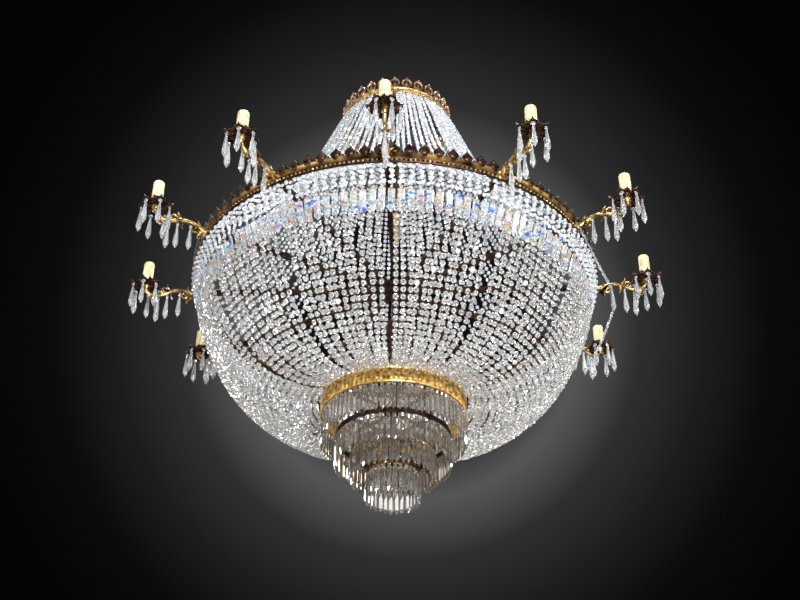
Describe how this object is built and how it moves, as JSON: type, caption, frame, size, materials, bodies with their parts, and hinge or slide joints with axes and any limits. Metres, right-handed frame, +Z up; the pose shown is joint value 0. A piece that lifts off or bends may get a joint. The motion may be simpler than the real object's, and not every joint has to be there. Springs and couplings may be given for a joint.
{
  "type": "chandelier",
  "caption": "Round tent-and-basket crystal chandelier: gilt rings, bead strands, tiers of prisms and candle arms with lift-off sleeves and swinging pendants.",
  "frame": {"origin": "centre of the suspension eye's bore, at the top of the central column", "axes": "+Z up along the central column; the first arm points along -Y; the eye's bore lies along Y"},
  "size_m": [1.352, 1.352, 1.3153],
  "materials": {
    "gilt_brass": "aged gilt",
    "dark_bronze": "dark patinated bronze",
    "crystal": "cut and polished",
    "ivory_sleeve": "wax-like",
    "black_plastic": "moulded"
  },
  "bodies": {
    "frame": {"suspension_eye": "gilt_brass", "central_column": "gilt_brass", "column_knop": "gilt_brass", "column_baluster": "gilt_brass", "crown_ring": "gilt_brass", "crown_wheel": "dark_bronze", "crown_cresting": "dark_bronze", "tent_strands": "crystal", "main_ring": "gilt_brass", "main_cresting": "dark_bronze", "main_wheel": "dark_bronze", "lace_band": "crystal", "plaque_belt": "crystal", "basket_strands": "crystal", "bottom_ring": "gilt_brass", "bottom_wheel": "dark_bronze", "hoop_two": "gilt_brass", "hoop_three": "gilt_brass", "hoop_four": "gilt_brass", "prisms_one": "crystal", "prisms_two": "crystal", "prisms_three": "crystal", "prisms_four": "crystal", "finial_nut": "gilt_brass", "arms": "gilt_brass", "drip_dishes": "dark_bronze", "leaf_cups": "dark_bronze", "lampholders": "black_plastic", "dish_drops": "crystal"},
    "candle_sleeve_01": {"candle_sleeve_01": "ivory_sleeve"},
    "candle_sleeve_02": {"candle_sleeve_02": "ivory_sleeve"},
    "candle_sleeve_03": {"candle_sleeve_03": "ivory_sleeve"},
    "candle_sleeve_04": {"candle_sleeve_04": "ivory_sleeve"},
    "candle_sleeve_05": {"candle_sleeve_05": "ivory_sleeve"},
    "candle_sleeve_06": {"candle_sleeve_06": "ivory_sleeve"},
    "candle_sleeve_07": {"candle_sleeve_07": "ivory_sleeve"},
    "candle_sleeve_08": {"candle_sleeve_08": "ivory_sleeve"},
    "candle_sleeve_09": {"candle_sleeve_09": "ivory_sleeve"},
    "candle_sleeve_10": {"candle_sleeve_10": "ivory_sleeve"},
    "candle_sleeve_11": {"candle_sleeve_11": "ivory_sleeve"},
    "candle_sleeve_12": {"candle_sleeve_12": "ivory_sleeve"},
    "arm_pendant_01": {"arm_pendant_01": "crystal"},
    "arm_pendant_02": {"arm_pendant_02": "crystal"},
    "arm_pendant_03": {"arm_pendant_03": "crystal"},
    "arm_pendant_04": {"arm_pendant_04": "crystal"},
    "arm_pendant_05": {"arm_pendant_05": "crystal"},
    "arm_pendant_06": {"arm_pendant_06": "crystal"},
    "arm_pendant_07": {"arm_pendant_07": "crystal"},
    "arm_pendant_08": {"arm_pendant_08": "crystal"},
    "arm_pendant_09": {"arm_pendant_09": "crystal"},
    "arm_pendant_10": {"arm_pendant_10": "crystal"},
    "arm_pendant_11": {"arm_pendant_11": "crystal"},
    "arm_pendant_12": {"arm_pendant_12": "crystal"}
  },
  "joints": [
    {"name": "sleeve_lift_01", "type": "slide", "parent": "frame", "child": "candle_sleeve_01", "axis": [0, 0, 1], "range_m": [0, 0.07]},
    {"name": "sleeve_lift_02", "type": "slide", "parent": "frame", "child": "candle_sleeve_02", "axis": [0, 0, 1], "range_m": [0, 0.07]},
    {"name": "sleeve_lift_03", "type": "slide", "parent": "frame", "child": "candle_sleeve_03", "axis": [0, 0, 1], "range_m": [0, 0.07]},
    {"name": "sleeve_lift_04", "type": "slide", "parent": "frame", "child": "candle_sleeve_04", "axis": [0, 0, 1], "range_m": [0, 0.07]},
    {"name": "sleeve_lift_05", "type": "slide", "parent": "frame", "child": "candle_sleeve_05", "axis": [0, 0, 1], "range_m": [0, 0.07]},
    {"name": "sleeve_lift_06", "type": "slide", "parent": "frame", "child": "candle_sleeve_06", "axis": [0, 0, 1], "range_m": [0, 0.07]},
    {"name": "sleeve_lift_07", "type": "slide", "parent": "frame", "child": "candle_sleeve_07", "axis": [0, 0, 1], "range_m": [0, 0.07]},
    {"name": "sleeve_lift_08", "type": "slide", "parent": "frame", "child": "candle_sleeve_08", "axis": [0, 0, 1], "range_m": [0, 0.07]},
    {"name": "sleeve_lift_09", "type": "slide", "parent": "frame", "child": "candle_sleeve_09", "axis": [0, 0, 1], "range_m": [0, 0.07]},
    {"name": "sleeve_lift_10", "type": "slide", "parent": "frame", "child": "candle_sleeve_10", "axis": [0, 0, 1], "range_m": [0, 0.07]},
    {"name": "sleeve_lift_11", "type": "slide", "parent": "frame", "child": "candle_sleeve_11", "axis": [0, 0, 1], "range_m": [0, 0.07]},
    {"name": "sleeve_lift_12", "type": "slide", "parent": "frame", "child": "candle_sleeve_12", "axis": [0, 0, 1], "range_m": [0, 0.07]},
    {"name": "pendant_swing_01", "type": "hinge", "parent": "frame", "child": "arm_pendant_01", "pos_m": [0, -0.582, -0.6982], "axis": [0, -1, 0], "range_deg": [-35, 35]},
    {"name": "pendant_swing_02", "type": "hinge", "parent": "frame", "child": "arm_pendant_02", "pos_m": [0.291, -0.50403, -0.6982], "axis": [0.5, -0.866, 0], "range_deg": [-35, 35]},
    {"name": "pendant_swing_03", "type": "hinge", "parent": "frame", "child": "arm_pendant_03", "pos_m": [0.50403, -0.291, -0.6982], "axis": [0.866, -0.5, 0], "range_deg": [-35, 35]},
    {"name": "pendant_swing_04", "type": "hinge", "parent": "frame", "child": "arm_pendant_04", "pos_m": [0.582, 0, -0.6982], "axis": [1, 0, 0], "range_deg": [-35, 35]},
    {"name": "pendant_swing_05", "type": "hinge", "parent": "frame", "child": "arm_pendant_05", "pos_m": [0.50403, 0.291, -0.6982], "axis": [0.866, 0.5, 0], "range_deg": [-35, 35]},
    {"name": "pendant_swing_06", "type": "hinge", "parent": "frame", "child": "arm_pendant_06", "pos_m": [0.291, 0.50403, -0.6982], "axis": [0.5, 0.866, 0], "range_deg": [-35, 35]},
    {"name": "pendant_swing_07", "type": "hinge", "parent": "frame", "child": "arm_pendant_07", "pos_m": [0, 0.582, -0.6982], "axis": [0, 1, 0], "range_deg": [-35, 35]},
    {"name": "pendant_swing_08", "type": "hinge", "parent": "frame", "child": "arm_pendant_08", "pos_m": [-0.291, 0.50403, -0.6982], "axis": [-0.5, 0.866, 0], "range_deg": [-35, 35]},
    {"name": "pendant_swing_09", "type": "hinge", "parent": "frame", "child": "arm_pendant_09", "pos_m": [-0.50403, 0.291, -0.6982], "axis": [-0.866, 0.5, 0], "range_deg": [-35, 35]},
    {"name": "pendant_swing_10", "type": "hinge", "parent": "frame", "child": "arm_pendant_10", "pos_m": [-0.582, 0, -0.6982], "axis": [-1, 0, 0], "range_deg": [-35, 35]},
    {"name": "pendant_swing_11", "type": "hinge", "parent": "frame", "child": "arm_pendant_11", "pos_m": [-0.50403, -0.291, -0.6982], "axis": [-0.866, -0.5, 0], "range_deg": [-35, 35]},
    {"name": "pendant_swing_12", "type": "hinge", "parent": "frame", "child": "arm_pendant_12", "pos_m": [-0.291, -0.50403, -0.6982], "axis": [-0.5, -0.866, 0], "range_deg": [-35, 35]}
  ]
}
